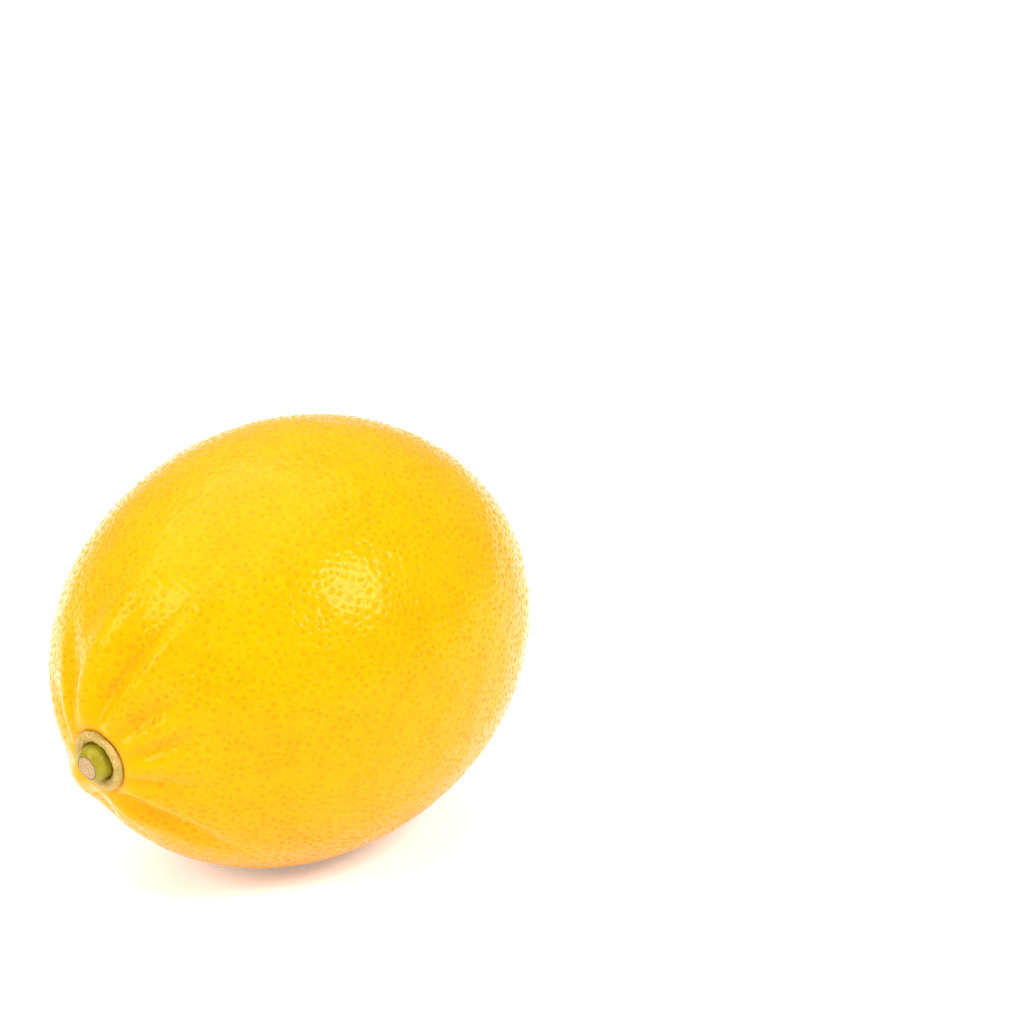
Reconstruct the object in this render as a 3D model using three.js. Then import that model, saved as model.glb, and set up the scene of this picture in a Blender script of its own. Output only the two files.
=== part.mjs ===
// A whole ripe lemon lying on its side, picked with its button still on.
// Three grown pieces: the fruit, the corky calyx on its stem end, and the cut stub of stem in the calyx.
// Millimetres, +Z up. The origin is the middle of the small flat spot that the fruit rests on.
// The fruit's long axis runs along X with the stem end at -X, and dips a little towards the stem.

import * as THREE from "three";

// ---- Driving dimensions ----

const FRUIT_DIAMETER = 60; // across the fattest part
const BODY_LENGTH = 73.8; // of the plain egg, before the collar and the nipple
const AXIS_DIP = 8; // degrees that the stem end hangs below the tip end
const REST_FLAT_DEPTH = 0.6; // how far the resting spot is pressed in

const COLLAR_RISE = 2.1; // the swollen collar of rind round the stem
const COLLAR_RADIUS = 9;
const COLLAR_SHARPNESS = 3;
const NIPPLE_RISE = 4.2; // the blunt nipple at the blossom end
const NIPPLE_RADIUS = 6.2;
const NIPPLE_SHARPNESS = 2.4;
const TIP_SAG = 0.8; // how far the nipple end droops below the straight axis
const UNEVENNESS = 0.2; // how far the belly strays from a true circle

const SEAT_RADIUS = 4.2; // the flat scar under the calyx
const SEAT_HEIGHT = 37.3; // from the fruit's centre, along its axis
const LIP_RADIUS = 5.1; // where the rind swells past the scar

const CALYX_DIAMETER = 8.8;
const CALYX_THICKNESS = 0.9;
const CALYX_BORE = 5.9;
const STEM_DIAMETER = 5.4; // at its swollen shoulder
const STEM_CUT_DIAMETER = 3.6; // of the cut face
const STEM_LENGTH = 2.6;
const GAP = 0.3; // between pieces that touch

const FADE_START = 0.6; // the share of its reach at which a fold begins to fade

const AROUND = 120; // facets round the fruit
const ALONG = 46; // rows of facets from nipple to collar

// The folds in the rind that run out from the calyx: a rib has a positive height and a furrow a negative one.
// at: degrees round the axis beside the calyx, 0 on top and positive on the +Y side of it.
// turn: how many degrees the fold has turned by its far end.
// width is across the fold; from and reach are the distances from the axis where it starts and ends, in mm.
const FOLDS = [
  { at: 23, turn: -25, height: 1.3, width: 6.0, from: 5, reach: 27 },
  { at: -19, turn: -5, height: 1.2, width: 4.6, from: 5, reach: 25 },
  { at: -13, turn: 0, height: 0.7, width: 9.0, from: 22, reach: 27 },
  { at: 58, turn: -14, height: 0.5, width: 3.5, from: 5, reach: 19 },
  { at: 131, turn: -3, height: 0.9, width: 8.0, from: 5, reach: 18 },
  { at: -170, turn: 4, height: 0.7, width: 5.0, from: 5, reach: 14 },
  { at: 3, turn: -15, height: -0.9, width: 6.5, from: 5, reach: 25 },
  { at: -3, turn: -17, height: -1.4, width: 2.8, from: 5, reach: 25 },
  { at: -41, turn: -5, height: -1.2, width: 3.2, from: 5, reach: 18 },
  { at: -73, turn: 3, height: -1.0, width: 2.8, from: 5, reach: 17 },
  { at: -107, turn: 7, height: -0.8, width: 2.8, from: 5, reach: 17 },
  { at: -151, turn: 14, height: -1.5, width: 3.2, from: 5, reach: 21 },
  { at: -182, turn: 3, height: -0.7, width: 3.0, from: 5, reach: 16 },
  { at: 155, turn: 2, height: -1.2, width: 3.2, from: 5, reach: 16 },
  { at: 107, turn: 4, height: -0.9, width: 2.8, from: 5, reach: 17 },
  { at: 76, turn: -6, height: -0.9, width: 3.2, from: 5, reach: 17 },
  { at: 38, turn: -3, height: -0.7, width: 3.0, from: 5, reach: 20 },
];

// ---- Shared helpers ----

const rad = THREE.MathUtils.degToRad;
const { clamp, smoothstep } = THREE.MathUtils;
const bell = (x, sharpness = 2) => Math.exp(-Math.pow(Math.abs(x), sharpness));
const point = (radius, height) => new THREE.Vector2(radius, height);

// ---- The fruit ----
// It is made in a frame of its own: its axis along Y with the stem up, and Z on the side that ends on top.

const halfLength = BODY_LENGTH / 2;
const halfWidth = FRUIT_DIAMETER / 2;

// The smooth outline from the nipple's tip, round the belly and the collar, to the scar on the axis.
function fruitOutline() {
  const outline = [];
  const lipAngle = Math.asin(LIP_RADIUS / halfWidth);
  for (let i = 0; i <= ALONG; i++) {
    const angle = Math.PI - (i / ALONG) * (Math.PI - lipAngle); // from the stem end of the axis
    const radius = i === 0 ? 0 : halfWidth * Math.sin(angle);
    const egg = halfLength * Math.cos(angle);
    const swell =
      egg > 0
        ? COLLAR_RISE * bell(radius / COLLAR_RADIUS, COLLAR_SHARPNESS)
        : -NIPPLE_RISE * bell(radius / NIPPLE_RADIUS, NIPPLE_SHARPNESS);
    outline.push(point(radius, egg + swell));
  }
  outline.push(point(SEAT_RADIUS, SEAT_HEIGHT), point(0, SEAT_HEIGHT));
  return outline;
}

// How far the rind stands out from the smooth outline, at a place on the stem half.
function foldHeight(radius, around) {
  let total = 0;
  for (const { at, turn, height, width, from, reach } of FOLDS) {
    const along = clamp((radius - from) / (reach - from), 0, 1);
    const middle = rad(at + turn * along * (2 - along));
    const across = 2 * radius * Math.sin((around - middle) / 2);
    const start = smoothstep(radius, from - 1, from + 2);
    const end = smoothstep(radius, FADE_START * reach, reach);
    total += height * start * (1 - end) * bell(across / (width / 2));
  }
  return total;
}

// The whole body's small departures from a true egg: a belly that isn't quite round, and the drooping tip.
function uneven(spot, around) {
  const towardsTip = Math.max(0, -spot.y / halfLength);
  const girth = 1 + (UNEVENNESS / halfWidth) * (Math.sin(2 * around + 1) + Math.sin(3 * around + 4));
  spot.x *= girth;
  spot.z = spot.z * girth - TIP_SAG * towardsTip ** 2;
}

// The world's up direction in the fruit's frame, and how high the fruit's centre lies.
const up = new THREE.Vector3(0, -Math.sin(rad(AXIS_DIP)), Math.cos(rad(AXIS_DIP)));
const lowestPoint = Math.hypot(halfLength * up.y, halfWidth * up.z);
const centreHeight = lowestPoint - REST_FLAT_DEPTH;

function fruitGeometry() {
  const geometry = new THREE.LatheGeometry(fruitOutline(), AROUND);
  const position = geometry.getAttribute("position");
  const normal = geometry.getAttribute("normal");
  const spot = new THREE.Vector3();
  const outward = new THREE.Vector3();
  for (let i = 0; i < position.count; i++) {
    spot.fromBufferAttribute(position, i);
    const radius = Math.hypot(spot.x, spot.z);
    const around = Math.atan2(spot.x, spot.z);
    if (spot.y > 0 && radius > SEAT_RADIUS) {
      outward.fromBufferAttribute(normal, i);
      spot.addScaledVector(outward, foldHeight(radius, around));
    }
    uneven(spot, around);
    const height = spot.dot(up) + centreHeight;
    if (height < 0) spot.addScaledVector(up, -height); // pressed flat where it rests
    position.setXYZ(i, spot.x, spot.y, spot.z);
  }
  return geometry;
}

// ---- The calyx and the stub of stem, in the fruit's frame ----

// A low ring with a rounded rim, lying on the scar.
function calyxGeometry() {
  const outer = CALYX_DIAMETER / 2;
  const inner = CALYX_BORE / 2;
  const base = SEAT_HEIGHT + GAP;
  const top = base + CALYX_THICKNESS;
  const rim = new THREE.QuadraticBezierCurve(
    point(outer, base + CALYX_THICKNESS / 3),
    point(outer, top),
    point((outer + inner) / 2, top),
  );
  const foot = SEAT_RADIUS - GAP;
  const outline = [point(inner, base), point(foot, base), ...rim.getPoints(5), point(inner, top)];
  return new THREE.LatheGeometry([...outline, outline[0]], 36);
}

// A short green stub with a swollen shoulder, drawn in to the cut face.
function stemGeometry() {
  const base = SEAT_HEIGHT + GAP;
  const cut = base + STEM_LENGTH;
  const shoulder = STEM_DIAMETER / 2;
  const side = new THREE.CubicBezierCurve(
    point(shoulder - GAP, base),
    point(shoulder, base + STEM_LENGTH / 2),
    point(shoulder, cut),
    point(STEM_CUT_DIAMETER / 2, cut),
  );
  return new THREE.LatheGeometry([point(0, base), ...side.getPoints(8), point(0, cut)], 28);
}

// ---- Materials ----

const rind = new THREE.MeshStandardMaterial({ color: 0xfbc40d, roughness: 0.42, metalness: 0 });
const cork = new THREE.MeshStandardMaterial({ color: 0xa68a4c, roughness: 0.9, metalness: 0 });
const bark = new THREE.MeshStandardMaterial({ color: 0xa3a51c, roughness: 0.5, metalness: 0 });

// ---- Assembly ----

const fruit = new THREE.Mesh(fruitGeometry(), rind);
fruit.name = "fruit";
const calyx = new THREE.Mesh(calyxGeometry(), cork);
calyx.name = "calyx";
const stem = new THREE.Mesh(stemGeometry(), bark);
stem.name = "stem_stub";

const lemon = new THREE.Group();
lemon.add(fruit, calyx, stem);

// Laid on its side: the fruit's X, Y and Z axes as they lie in the world.
const dip = rad(AXIS_DIP);
const sideways = new THREE.Vector3(0, 1, 0);
const stemward = new THREE.Vector3(-Math.cos(dip), 0, -Math.sin(dip));
const topward = new THREE.Vector3(-Math.sin(dip), 0, Math.cos(dip));
lemon.setRotationFromMatrix(new THREE.Matrix4().makeBasis(sideways, stemward, topward));

// A leaning egg's lowest point lies a little towards its lower end, and the origin goes there.
const lean = Math.sin(dip) * Math.cos(dip);
const restOffset = ((halfLength ** 2 - halfWidth ** 2) * lean) / lowestPoint;
lemon.position.set(restOffset, 0, centreHeight);

const root = new THREE.Group();
root.add(lemon);
export default root;
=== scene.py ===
# A whole ripe lemon lying on its side, picked with its button and a stub of stem still on.
# Metres, +Z up. The origin is the resting spot and the stem end points along -X.

import math
import random

import bpy
import numpy as np
from mathutils import Matrix, Vector
from mathutils.kdtree import KDTree


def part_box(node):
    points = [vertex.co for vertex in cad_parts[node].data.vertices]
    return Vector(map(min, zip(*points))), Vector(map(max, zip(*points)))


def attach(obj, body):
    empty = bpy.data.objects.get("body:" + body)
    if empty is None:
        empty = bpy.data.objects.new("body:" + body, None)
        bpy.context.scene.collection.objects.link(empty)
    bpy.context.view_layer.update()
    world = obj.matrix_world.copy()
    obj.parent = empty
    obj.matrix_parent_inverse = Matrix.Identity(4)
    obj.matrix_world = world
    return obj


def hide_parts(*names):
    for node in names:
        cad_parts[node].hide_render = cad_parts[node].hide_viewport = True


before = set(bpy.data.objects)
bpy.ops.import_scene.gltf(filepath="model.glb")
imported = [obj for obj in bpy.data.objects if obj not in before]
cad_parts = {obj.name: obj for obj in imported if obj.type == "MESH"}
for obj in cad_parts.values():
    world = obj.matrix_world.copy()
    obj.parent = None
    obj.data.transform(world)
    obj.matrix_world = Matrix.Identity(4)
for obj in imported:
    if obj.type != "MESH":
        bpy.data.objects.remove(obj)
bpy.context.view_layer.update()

# ---- The rind ----
# The whole outside of the fruit: thick waxy skin grown in one piece, drawn into folds round the stem and
# into a blunt nipple at the blossom end. Oil glands lie close together under it, and between them the
# skin stands up in a fine net.

MM = 0.001
MERGE_WITHIN = 0.001 * MM
AXIS_DIP = math.radians(8)  # the stem end hangs this far below level
HALF_LENGTH = 36.9 * MM  # of the plain egg, without its collar and nipple
HALF_WIDTH = 30.0 * MM
CALYX_FROM_CENTRE = 38.05 * MM  # along the axis, to the middle of the calyx

# The fruit's own frame: Z along its axis towards the stem, Y up, X towards the -Y side of the world.
stemward = Vector((-math.cos(AXIS_DIP), 0, -math.sin(AXIS_DIP)))
topward = Vector((-math.sin(AXIS_DIP), 0, math.cos(AXIS_DIP)))
calyx_low, calyx_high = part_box("calyx")
fruit_centre = (Vector(calyx_low) + Vector(calyx_high)) / 2 - stemward * CALYX_FROM_CENTRE
turned = Matrix((topward.cross(stemward), topward, stemward)).transposed()
fruit_frame = Matrix.Translation(fruit_centre) @ turned.to_4x4()


def select_only(piece):
    bpy.ops.object.select_all(action="DESELECT")
    piece.select_set(True)
    bpy.context.view_layer.objects.active = piece


def apply_modifier(piece, kind, **settings):
    """Adds a modifier with the given settings and applies it at once."""
    select_only(piece)
    modifier = piece.modifiers.new(kind.title(), kind)
    for name, value in settings.items():
        setattr(modifier, name, value)
    bpy.ops.object.modifier_apply(modifier=modifier.name)


def new_piece(name, points, lines=()):
    """A piece that starts as loose points, or as points joined by lines."""
    mesh = bpy.data.meshes.new(name)
    mesh.from_pydata(points, lines, [])
    piece = bpy.data.objects.new(name, mesh)
    bpy.context.scene.collection.objects.link(piece)
    select_only(piece)
    return piece


def edit(piece, do_select_all=True):
    """Opens a piece in edit mode with all of it selected, or none."""
    select_only(piece)
    bpy.ops.object.mode_set(mode="EDIT")
    bpy.ops.mesh.select_mode(type="FACE")
    bpy.ops.mesh.select_all(action="SELECT" if do_select_all else "DESELECT")


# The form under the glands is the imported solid, smoothed.
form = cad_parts["fruit"].copy()
form.data = form.data.copy()
form.name = "rind_form"
form.parent = None
bpy.context.scene.collection.objects.link(form)
edit(form)
bpy.ops.mesh.remove_doubles(threshold=MERGE_WITHIN)
bpy.ops.mesh.tris_convert_to_quads()
bpy.ops.object.mode_set(mode="OBJECT")
apply_modifier(form, "SUBSURF", levels=2, render_levels=2)


def roughen(piece, lump_size, height):
    """Raises and sinks a piece's surface in soft lumps."""
    lumps = bpy.data.textures.new("lumps", "CLOUDS")
    lumps.noise_scale = lump_size
    apply_modifier(piece, "DISPLACE", texture=lumps, texture_coords="LOCAL", strength=height)


roughen(form, lump_size=5 * MM, height=0.3 * MM)

GLAND_PITCH = 1.34 * MM
FINE_PITCH = 0.62 * MM  # of the smooth skin close round the calyx
FINE_WITHIN = 6 * MM  # of the axis
COARSE_BEYOND = 11 * MM


def pitch_at(spot):
    """How far apart the cells of skin lie at a place in the fruit's frame."""
    reach = math.hypot(spot.x, spot.y)
    share = (reach - FINE_WITHIN) / (COARSE_BEYOND - FINE_WITHIN)
    share = min(1, max(0, share)) if spot.z > 0 else 1
    return FINE_PITCH + (GLAND_PITCH - FINE_PITCH) * share


def gland_spots(generator, stray):
    """Places for the glands on the egg, spread evenly and then each moved a little at random."""
    rings = 4000
    angles = (np.arange(rings) + 0.5) * math.pi / rings
    radii = HALF_WIDTH * np.sin(angles)
    slant = np.hypot(HALF_LENGTH * np.sin(angles), HALF_WIDTH * np.cos(angles))
    pitches = [pitch_at(Vector((r, 0, math.cos(t)))) for r, t in zip(radii, angles)]
    cell_areas = math.sqrt(3) / 2 * np.square(pitches)
    counts = np.cumsum(2 * math.pi * radii * slant * (math.pi / rings) / cell_areas)
    golden_turn = math.pi * (3 - math.sqrt(5))
    spots = []
    for i in range(int(counts[-1])):
        angle = float(np.interp(i + 0.5, counts, angles))
        around = i * golden_turn
        ring = HALF_WIDTH * math.sin(angle)
        spot = Vector((ring * math.cos(around), ring * math.sin(around), HALF_LENGTH * math.cos(angle)))
        shift = Vector([generator.gauss(0, 1) for _ in range(3)])
        spots.append(spot + shift * stray * pitch_at(spot))
    return spots


def onto_egg(spot):
    """Moves a spot near the egg onto it."""
    unit = Vector((spot.x / HALF_WIDTH, spot.y / HALF_WIDTH, spot.z / HALF_LENGTH)).normalized()
    return Vector((unit.x * HALF_WIDTH, unit.y * HALF_WIDTH, unit.z * HALF_LENGTH))


def spread_out(spots, rounds, reach, push):
    """Pushes spots that crowd each other apart, and keeps them on the egg."""
    for _ in range(rounds):
        tree = KDTree(len(spots))
        for i, spot in enumerate(spots):
            tree.insert(spot, i)
        tree.balance()
        moved = []
        for spot in spots:
            wanted = reach * pitch_at(spot)
            shift = Vector()
            for other, _, distance in tree.find_range(spot, wanted):
                if distance > 0:
                    shift += (spot - other) * (wanted / distance - 1)
            moved.append(onto_egg(spot + shift * push))
        spots = moved
    return spots


chance = random.Random(7)
spots = spread_out(gland_spots(chance, stray=0.42), rounds=4, reach=0.9, push=0.35)
skin = new_piece("fruit_rind", spots)
bpy.ops.object.mode_set(mode="EDIT")
bpy.ops.mesh.select_all(action="SELECT")
bpy.ops.mesh.convex_hull()
bpy.ops.object.mode_set(mode="OBJECT")

# Each spot becomes the middle of a cell of skin.
cells = bpy.data.node_groups.new("skin_cells", "GeometryNodeTree")
cells.interface.new_socket("Mesh", in_out="INPUT", socket_type="NodeSocketGeometry")
cells.interface.new_socket("Mesh", in_out="OUTPUT", socket_type="NodeSocketGeometry")
cells_in = cells.nodes.new("NodeGroupInput")
dual = cells.nodes.new("GeometryNodeDualMesh")
cells_out = cells.nodes.new("NodeGroupOutput")
cells.links.new(cells_in.outputs[0], dual.inputs[0])
cells.links.new(dual.outputs[0], cells_out.inputs[0])
apply_modifier(skin, "NODES", node_group=cells)
edit(skin)
bpy.ops.mesh.normals_make_consistent(inside=False)
bpy.ops.object.mode_set(mode="OBJECT")


def select_faces(piece, wanted):
    """Leaves selected only the faces that pass the test."""
    edit(piece, do_select_all=False)
    bpy.ops.object.mode_set(mode="OBJECT")
    for face in piece.data.polygons:
        face.select = wanted(face)
    bpy.ops.object.mode_set(mode="EDIT")


def mark_selected(piece, layer, value):
    """Gives the selected points a value in one of the piece's point attributes."""
    bpy.ops.object.mode_set(mode="OBJECT")
    attribute = piece.data.attributes.get(layer)
    if attribute is None:
        attribute = piece.data.attributes.new(layer, "FLOAT", "POINT")
    for vertex in piece.data.vertices:
        if vertex.select:
            attribute.data[vertex.index].value = value
    bpy.ops.object.mode_set(mode="EDIT")


def draw_in_faces(piece, share):
    """Scales each selected face about its own middle."""
    bpy.ops.object.mode_set(mode="OBJECT")
    for face in piece.data.polygons:
        if face.select:
            middle = face.center.copy()
            for index in face.vertices:
                vertex = piece.data.vertices[index]
                vertex.co = middle.lerp(vertex.co, share)
    bpy.ops.object.mode_set(mode="EDIT")


BARE_WITHIN = 7.5 * MM  # of the axis on the stem side: the skin there is too drawn to show glands
BARE_TIP = 2.2 * MM  # the same at the nipple's tip
LEAST_CELL = 0.8 * MM**2  # a smaller cell has no room for a pit


def has_gland(face):
    reach = math.hypot(face.center.x, face.center.y)
    bare = BARE_WITHIN if face.center.z > 0 else BARE_TIP
    return reach > bare and face.area > LEAST_CELL


# Glands of three sizes, mixed at random: the pit's width as a share of its cell's, and its depth at its rim
# and in its middle as shares of the deepest.
PIT_DEPTH = 0.24 * MM
PITS = [(0.56, 0.08, 1.0), (0.48, 0.06, 0.8), (0.38, 0.04, 0.6)]
glands = [face.index for face in skin.data.polygons if has_gland(face)]
chance.shuffle(glands)
gland_size = skin.data.attributes.new("gland_size", "INT", "FACE")
for order, index in enumerate(glands):
    gland_size.data[index].value = 1 + order * len(PITS) // len(glands)
for size, (width, rim_depth, middle_depth) in enumerate(PITS, start=1):
    select_faces(skin, lambda face: skin.data.attributes["gland_size"].data[face.index].value == size)
    bpy.ops.mesh.inset(thickness=MERGE_WITHIN, depth=0, use_individual=True)
    draw_in_faces(skin, width)
    mark_selected(skin, "pit", rim_depth)
    points_before = len(skin.data.vertices)
    bpy.ops.mesh.poke()
    bpy.ops.object.mode_set(mode="OBJECT")
    for point in skin.data.attributes["pit"].data[points_before:]:
        point.value = middle_depth

# The net of cells is laid on the form, and then the pits are pressed in.
skin.data.transform(fruit_frame)
apply_modifier(
    skin,
    "SHRINKWRAP",
    target=form,
    wrap_method="PROJECT",
    use_negative_direction=True,
    use_positive_direction=True,
)
pits = skin.vertex_groups.new(name="pits")
for index, point in enumerate(skin.data.attributes["pit"].data):
    if point.value > 0:
        pits.add([index], point.value, "REPLACE")
apply_modifier(skin, "DISPLACE", vertex_group="pits", strength=-PIT_DEPTH, mid_level=0)

# The lowest part is pressed flat on what the fruit rests on.
for vertex in skin.data.vertices:
    vertex.co.z = max(vertex.co.z, 0)

# The scar where the flower dropped off, sunk a little into the nipple's tip, which droops below the axis.
SCAR_RADIUS = 1.1 * MM
SCAR_DEPTH = 0.35 * MM
TIP_SAG = 1.0 * MM
to_fruit = fruit_frame.inverted()


def on_scar(face):
    spot = to_fruit @ face.center
    return spot.z < 0 and math.hypot(spot.x, spot.y + TIP_SAG) < SCAR_RADIUS


select_faces(skin, on_scar)
bpy.ops.transform.translate(value=stemward * SCAR_DEPTH)
bpy.ops.object.mode_set(mode="OBJECT")
bpy.ops.object.shade_smooth()
bpy.data.objects.remove(form)


class Socket:
    """An output in a shader's node tree, which expressions join to Math nodes."""

    def __init__(self, tree, output=None):
        self.tree = tree
        self.output = output

    def node(self, kind, settings, inputs, output=0):
        """Adds a node, sets it up, gives its inputs values or links, and returns one of its outputs."""
        made = self.tree.nodes.new(kind)
        for name, setting in settings.items():
            setattr(made, name, setting)
        for name, value in inputs.items():
            if isinstance(value, Socket):
                self.tree.links.new(value.output, made.inputs[name])
            else:
                made.inputs[name].default_value = value
        return Socket(self.tree, made.outputs[output])

    def also(self, name):
        """Another output of the same node."""
        return Socket(self.tree, self.output.node.outputs[name])

    def math(self, operation, first, second=0.0):
        return self.node("ShaderNodeMath", {"operation": operation}, {0: first, 1: second})

    def mix(self, share, first, second):
        """A colour that goes from the first to the second as the share goes from 0 to 1."""
        return self.node("ShaderNodeMix", {"data_type": "RGBA"}, {0: share, 6: first, 7: second}, 2)

    def step(self, value, start, end):
        """0 before the start, 1 after the end, and a smooth rise between."""
        span = {"Value": value, "From Min": start, "From Max": end}
        return self.node("ShaderNodeMapRange", {"interpolation_type": "SMOOTHSTEP"}, span)

    def noise(self, place, size, detail=2.0):
        """Soft random blotches of about the given size, from 0 to 1."""
        return self.node("ShaderNodeTexNoise", {}, {"Vector": place, "Scale": 1 / size, "Detail": detail})

    def attribute(self, name):
        return self.node("ShaderNodeAttribute", {"attribute_name": name}, {}, "Fac")

    def __add__(self, other):
        return self.math("ADD", self, other)

    def __radd__(self, other):
        return self.math("ADD", other, self)

    def __sub__(self, other):
        return self.math("SUBTRACT", self, other)

    def __rsub__(self, other):
        return self.math("SUBTRACT", other, self)

    def __mul__(self, other):
        return self.math("MULTIPLY", self, other)

    def __rmul__(self, other):
        return self.math("MULTIPLY", other, self)


def new_material(name):
    """A material, its principled shader, and a first socket to build from: the place on the piece."""
    material = bpy.data.materials.new(name)
    material.use_nodes = True
    tree = material.node_tree
    place = Socket(tree).node("ShaderNodeTexCoord", {}, {}, "Object")
    return material, tree.nodes["Principled BSDF"], place


def feed(shader, inputs):
    """Sets the shader's own sockets, or links what varies over the surface to them."""
    for name, value in inputs.items():
        if isinstance(value, Socket):
            value.tree.links.new(value.output, shader.inputs[name])
        else:
            shader.inputs[name].default_value = value


YELLOW = (0.76, 0.335, 0.0004, 1)
# The deeper orange of the glands, also used as painted shade in the beds of the furrows.
GLAND_AND_SHADE_YELLOW = (0.70, 0.215, 0.0003, 1)
RIPE_YELLOW = (0.76, 0.305, 0.0004, 1)
COLLAR_SHADE_OLIVE = (0.60, 0.30, 0.012, 1)
SCAR_BROWN = (0.16, 0.08, 0.025, 1)


def on_fruit(place):
    """A place in the fruit's own frame: across it, up it and along its axis."""
    turn = turned.transposed()
    shift = -(turn @ fruit_centre)
    moved = place.node(
        "ShaderNodeMapping",
        {"vector_type": "POINT"},
        {"Vector": place, "Location": shift, "Rotation": turn.to_euler()},
    )
    across = place.node("ShaderNodeSeparateXYZ", {}, {0: moved}, "X")
    return across, across.also("Y"), across.also("Z")


def hypotenuse(first, second):
    return first.math("SQRT", first * first + second * second)


rind, shader, place = new_material("rind")
across_axis, up_axis, along_axis = on_fruit(place)
reach = hypotenuse(across_axis, up_axis)
around = place.math("ARCTAN2", 0 - across_axis, up_axis)
stem_side = place.step(along_axis, 0, 10 * MM)

# Fine creases along the beds of the furrows, pressed in by the bump and also painted a deeper orange as
# painted shade: where each starts, in degrees round the axis, how far it has turned by its end, and in mm
# the distances from the axis where it starts and ends, its width and its depth.
CREASES = [
    (-3, -17, 8, 24, 0.4, 0.12),
    (-41, -5, 4.5, 14, 0.9, 0.16),
    (-73, 3, 4.5, 14, 0.9, 0.14),
    (-107, 7, 4.5, 13, 0.8, 0.12),
    (-151, 14, 4.5, 20, 0.5, 0.12),
    (174, 3, 4.5, 13, 0.8, 0.12),
    (144, -4, 4.5, 13, 0.8, 0.12),
    (108, 5, 4.5, 14, 0.8, 0.12),
    (76, -6, 4.5, 13, 0.8, 0.12),
    (38, -3, 4.5, 14, 0.8, 0.12),
]
CREASE_LEAD = 1.5  # mm over which a crease deepens from its start
CREASE_FADE = 0.75  # the share of its end distance from which it fades
crease = 0
for at, turn, start, end, width, depth in CREASES:
    share = place.node(
        "ShaderNodeMapRange", {}, {"Value": reach, "From Min": start * MM, "From Max": end * MM}
    )
    middle = math.radians(at) + math.radians(turn) * share * (2 - share)
    sideways = 2 * reach * place.math("SINE", (around - middle) * 0.5)
    line = place.math("EXPONENT", 0 - sideways * sideways * (1 / (width * MM) ** 2))
    lead = place.step(reach, start * MM, (start + CREASE_LEAD) * MM)
    fade = 1 - place.step(reach, CREASE_FADE * end * MM, end * MM)
    crease = crease + line * (lead * fade) * depth
crease = crease * stem_side

pit = place.attribute("pit")
blotches = place.noise(place, 9 * MM)
freckles = place.noise(place, 1.9 * MM)
grain = place.noise(place, 0.28 * MM, detail=3.0)

# The scar's edge is uneven, and its brown fades into the skin.
from_scar = hypotenuse(across_axis, up_axis + TIP_SAG)
from_scar = from_scar + (freckles - 0.5) * 1.5 * MM + (grain - 0.5) * 0.8 * MM
scar = (1 - place.step(from_scar, 0.5 * SCAR_RADIUS, 1.4 * SCAR_RADIUS)) * (1 - stem_side)

ripeness = place.step(blotches * 0.45 + freckles * 0.55, 0.40, 0.64)
# Painted shade: close round the calyx the rind is mixed darker, towards olive.
collar = (1 - place.step(reach, 4.3 * MM, 6.2 * MM)) * stem_side
skin_colour = place.mix(ripeness, YELLOW, RIPE_YELLOW)
skin_colour = place.mix(pit * (0.2 + blotches * 0.7), skin_colour, GLAND_AND_SHADE_YELLOW)
# Painted shade: the beds of the furrows are mixed towards the deeper orange.
skin_colour = place.mix(crease * 1.5, skin_colour, GLAND_AND_SHADE_YELLOW)
skin_colour = place.mix(collar * 0.5, skin_colour, COLLAR_SHADE_OLIVE)
skin_colour = place.mix(scar * (0.5 + grain * 0.7), skin_colour, SCAR_BROWN)
relief = place.node(
    "ShaderNodeBump",
    {},
    {"Strength": 1.0, "Distance": MM, "Height": grain * 0.007 + freckles * 0.12 - crease},
)
feed(
    shader,
    {
        "Base Color": skin_colour,
        "Roughness": 0.12 + grain * 0.10 + pit * 0.10 + scar * 0.3,
        "Specular IOR Level": 0.11,
        "Specular Tint": (1.0, 0.95, 0.5, 1),
        "Normal": relief,
    },
)
skin.data.materials.append(rind)
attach(skin, "root")
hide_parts("fruit")

# ---- The calyx ----
# The button on the stem end: the dried, corky ring that was the flower's green cup. It grew on the
# fruit and lies on it like a washer, with its rim rounded over and the stem coming up through it.

# Its outline, turned round the axis: distance from the axis and height over the fruit's centre, in mm.
CALYX_OUTLINE = [
    (2.68, 37.35),
    (2.7, 37.98),
    (2.9, 38.18),
    (3.3, 38.4),
    (3.75, 38.5),
    (4.12, 38.42),
    (4.34, 38.2),
    (4.42, 37.9),
    (4.3, 37.5),
    (4.0, 37.35),
]


def turn_outline(name, outline, steps, do_close):
    """Spins an outline in millimetres round the fruit's axis."""
    points = [(reach * MM, 0, height * MM) for reach, height in outline]
    lines = [(i, i + 1) for i in range(len(points) - 1)]
    if do_close:
        lines.append((len(points) - 1, 0))
    piece = new_piece(name, points, lines)
    bpy.ops.object.mode_set(mode="EDIT")
    bpy.ops.mesh.select_all(action="SELECT")
    bpy.ops.mesh.spin(steps=steps, angle=2 * math.pi, center=(0, 0, 0), axis=(0, 0, 1))
    bpy.ops.mesh.select_all(action="SELECT")
    bpy.ops.mesh.remove_doubles(threshold=MERGE_WITHIN)
    bpy.ops.mesh.normals_make_consistent(inside=False)
    bpy.ops.object.mode_set(mode="OBJECT")
    return piece


calyx = turn_outline("calyx_button", CALYX_OUTLINE, steps=72, do_close=True)
apply_modifier(calyx, "SUBSURF", levels=2, render_levels=2)
roughen(calyx, lump_size=2.4 * MM, height=0.35 * MM)
roughen(calyx, lump_size=0.5 * MM, height=0.16 * MM)
calyx.data.transform(fruit_frame)
bpy.ops.object.shade_smooth()

CORK_TAN = (0.50, 0.31, 0.075, 1)
CORK_PALE = (0.60, 0.45, 0.19, 1)
CORK_OLIVE = (0.38, 0.26, 0.05, 1)
CORK_SHADE_BROWN = (0.24, 0.15, 0.02, 1)

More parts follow.
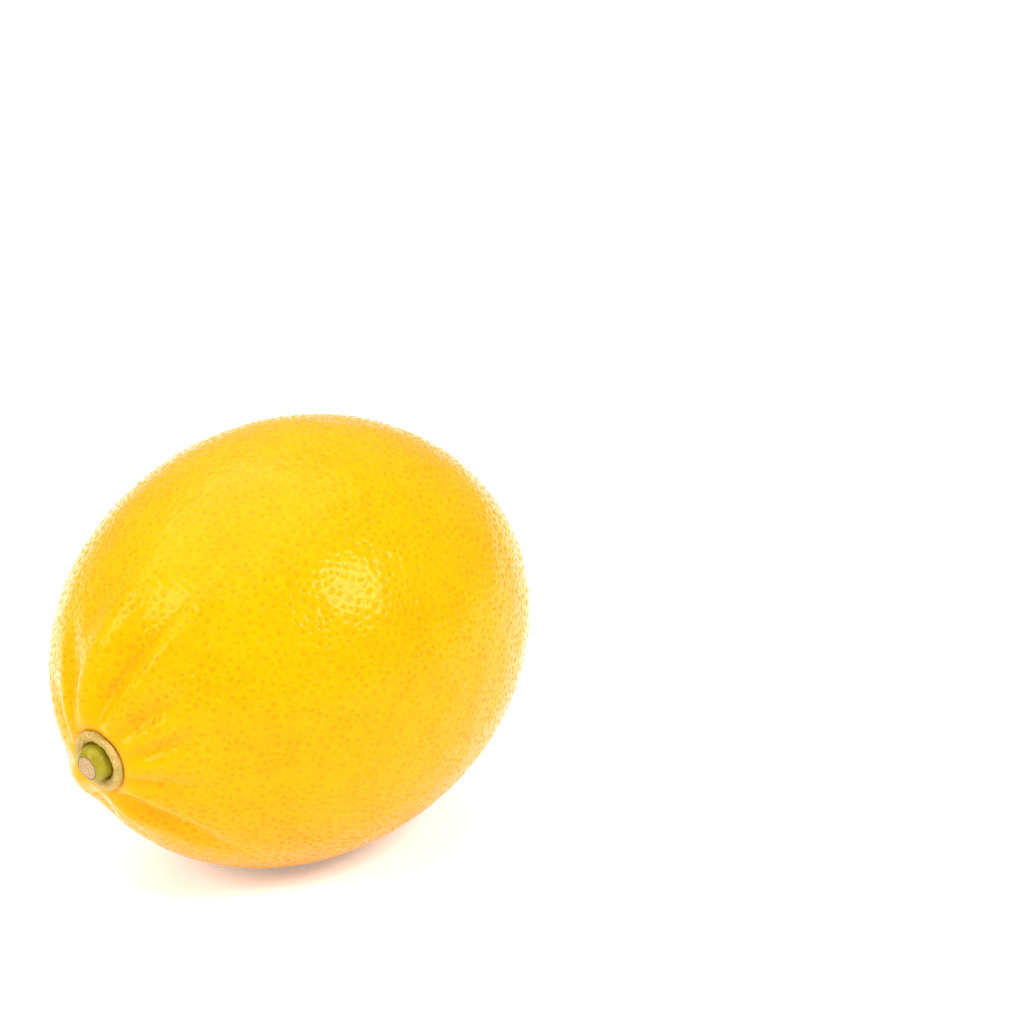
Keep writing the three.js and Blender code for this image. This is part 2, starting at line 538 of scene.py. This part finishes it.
cork, shader, place = new_material("cork")
across_axis, up_axis, along_axis = on_fruit(place)
reach = hypotenuse(across_axis, up_axis)
speckle = place.noise(place, 0.3 * MM, detail=4.0)
patches = place.noise(place, 1.6 * MM)
cork_colour = place.mix(place.step(patches, 0.35, 0.65), CORK_TAN, CORK_OLIVE)
cork_colour = place.mix(place.step(speckle, 0.5, 0.68) * 0.8, cork_colour, CORK_PALE)
# Painted shade: the cork is darkened brown at its inner edge, where the stem comes up through it.
inner_edge_shade = 1 - place.step(reach, 2.75 * MM, 3.1 * MM)
cork_colour = place.mix(inner_edge_shade * 0.15, cork_colour, CORK_SHADE_BROWN)
relief = place.node("ShaderNodeBump", {}, {"Strength": 1.0, "Distance": MM, "Height": speckle * 0.18})
feed(
    shader,
    {
        "Base Color": cork_colour,
        "Roughness": 0.75 + speckle * 0.2,
        "Specular IOR Level": 0.25,
        "Normal": relief,
    },
)
calyx.data.materials.append(cork)
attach(calyx, "root")
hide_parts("calyx")

# ---- The stub of stem ----
# The end of the fruit stalk, still green and smooth, swollen where it leaves the calyx. It was snipped
# across, and the cut wood has dried to a pinkish tan inside a thin brown rim.

# Its outline, turned round the axis like the calyx's.
STEM_OUTLINE = [
    (0, 37.45),
    (2.5, 37.45),
    (2.6, 38.1),
    (2.54, 38.7),
    (2.42, 39.25),
    (2.22, 39.7),
    (1.96, 40.0),
    (1.74, 40.14),
    (1.6, 40.16),
    (0, 40.1),
]
stub = turn_outline("stem_stub_green", STEM_OUTLINE, steps=64, do_close=False)


CUT_RADIUS = 1.62 * MM
CUT_HEIGHT = 40.05 * MM


def on_cut(face):
    return face.center.z > CUT_HEIGHT and math.hypot(face.center.x, face.center.y) < CUT_RADIUS


select_faces(stub, on_cut)
mark_selected(stub, "cut", 1)
bpy.ops.object.mode_set(mode="OBJECT")
apply_modifier(stub, "SUBSURF", levels=2, render_levels=2)
roughen(stub, lump_size=2.2 * MM, height=0.22 * MM)
stub.data.transform(fruit_frame)
bpy.ops.object.shade_smooth()

STEM_GREEN = (0.24, 0.18, 0.006, 1)
STEM_LIME = (0.30, 0.25, 0.006, 1)
CUT_TAN = (0.36, 0.22, 0.10, 1)
CUT_PALE = (0.50, 0.34, 0.18, 1)
CUT_RIM = (0.13, 0.07, 0.02, 1)

bark, shader, place = new_material("green_bark")
cut = place.attribute("cut")
mottle = place.noise(place, 1.8 * MM)
fibres = place.noise(place, 0.2 * MM, detail=4.0)
bark_colour = place.mix(place.step(mottle, 0.35, 0.65), STEM_GREEN, STEM_LIME)
cut_colour = place.mix(place.step(fibres, 0.4, 0.65), CUT_TAN, CUT_PALE)
stub_colour = place.mix(place.step(cut, 0.05, 0.35), bark_colour, CUT_RIM)
stub_colour = place.mix(place.step(cut, 0.55, 0.85), stub_colour, cut_colour)
relief = place.node(
    "ShaderNodeBump", {}, {"Strength": 1.0, "Distance": MM, "Height": fibres * (0.006 + cut * 0.08)}
)
feed(
    shader,
    {
        "Base Color": stub_colour,
        "Roughness": 0.32 + cut * 0.5,
        "Specular IOR Level": 0.2,
        "Normal": relief,
    },
)
stub.data.materials.append(bark)
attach(stub, "root")
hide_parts("stem_stub")

# ---- The floor, the lights and the camera ----
# A plain white floor that glows faintly to keep the shadow light. A wide light hangs over the back, one
# from the left shows along the ridges, a small one from the front right makes the highlight, and the
# camera looks down at the stem end from the left.

bpy.ops.object.select_all(action="DESELECT")
bpy.ops.mesh.primitive_plane_add(size=6)
floor = bpy.context.object
floor.name = "floor"
paper, shader, place = new_material("white_paper")
feed(
    shader,
    {
        "Base Color": (0.94, 0.94, 0.94, 1),
        "Roughness": 0.9,
        "Specular IOR Level": 0.2,
        "Emission Color": (0.75, 0.9, 1, 1),
        "Emission Strength": 0.25,
    },
)
floor.data.materials.append(paper)

world = bpy.data.worlds.new("studio")
bpy.context.scene.world = world
world.use_nodes = True
background = world.node_tree.nodes["Background"]
background.inputs["Color"].default_value = (1, 1, 1, 1)
background.inputs["Strength"].default_value = 0.5
bpy.context.scene.view_settings.view_transform = "Standard"


def towards(azimuth, elevation):
    """The direction from the fruit to a place at this bearing: 0 is along -Y and -90 along -X."""
    a = math.radians(azimuth)
    e = math.radians(elevation)
    return Vector((math.sin(a) * math.cos(e), -math.cos(a) * math.cos(e), math.sin(e)))


def softbox(name, azimuth, elevation, away, size, power):
    """A square light turned towards the fruit."""
    light = bpy.data.lights.new(name, "AREA")
    light.size = size
    light.energy = power
    lamp = bpy.data.objects.new(name, light)
    bpy.context.scene.collection.objects.link(lamp)
    direction = towards(azimuth, elevation)
    lamp.location = fruit_centre + direction * away
    lamp.rotation_euler = direction.to_track_quat("Z", "Y").to_euler()


softbox("ceiling_light", -175, 74, away=1.6, size=2.0, power=27)
softbox("side_light", -106, 32, away=1.4, size=0.65, power=13)
softbox("small_light", 10, 42, away=0.8, size=0.28, power=5.0)

CAMERA_DISTANCE = 0.592
AIM_RIGHT = 0.0308
AIM_UP = 0.0167
camera = bpy.data.cameras.new("camera")
camera.lens = 150
camera.clip_start = 0.01
view = bpy.data.objects.new("camera", camera)
bpy.context.scene.collection.objects.link(view)
bpy.context.scene.camera = view
back = towards(-46, 24)
right = Vector((0, 0, 1)).cross(back).normalized()
above = back.cross(right)
view.location = fruit_centre + back * CAMERA_DISTANCE
aim = fruit_centre + right * AIM_RIGHT + above * AIM_UP
view.rotation_euler = (aim - view.location).to_track_quat("-Z", "Y").to_euler()
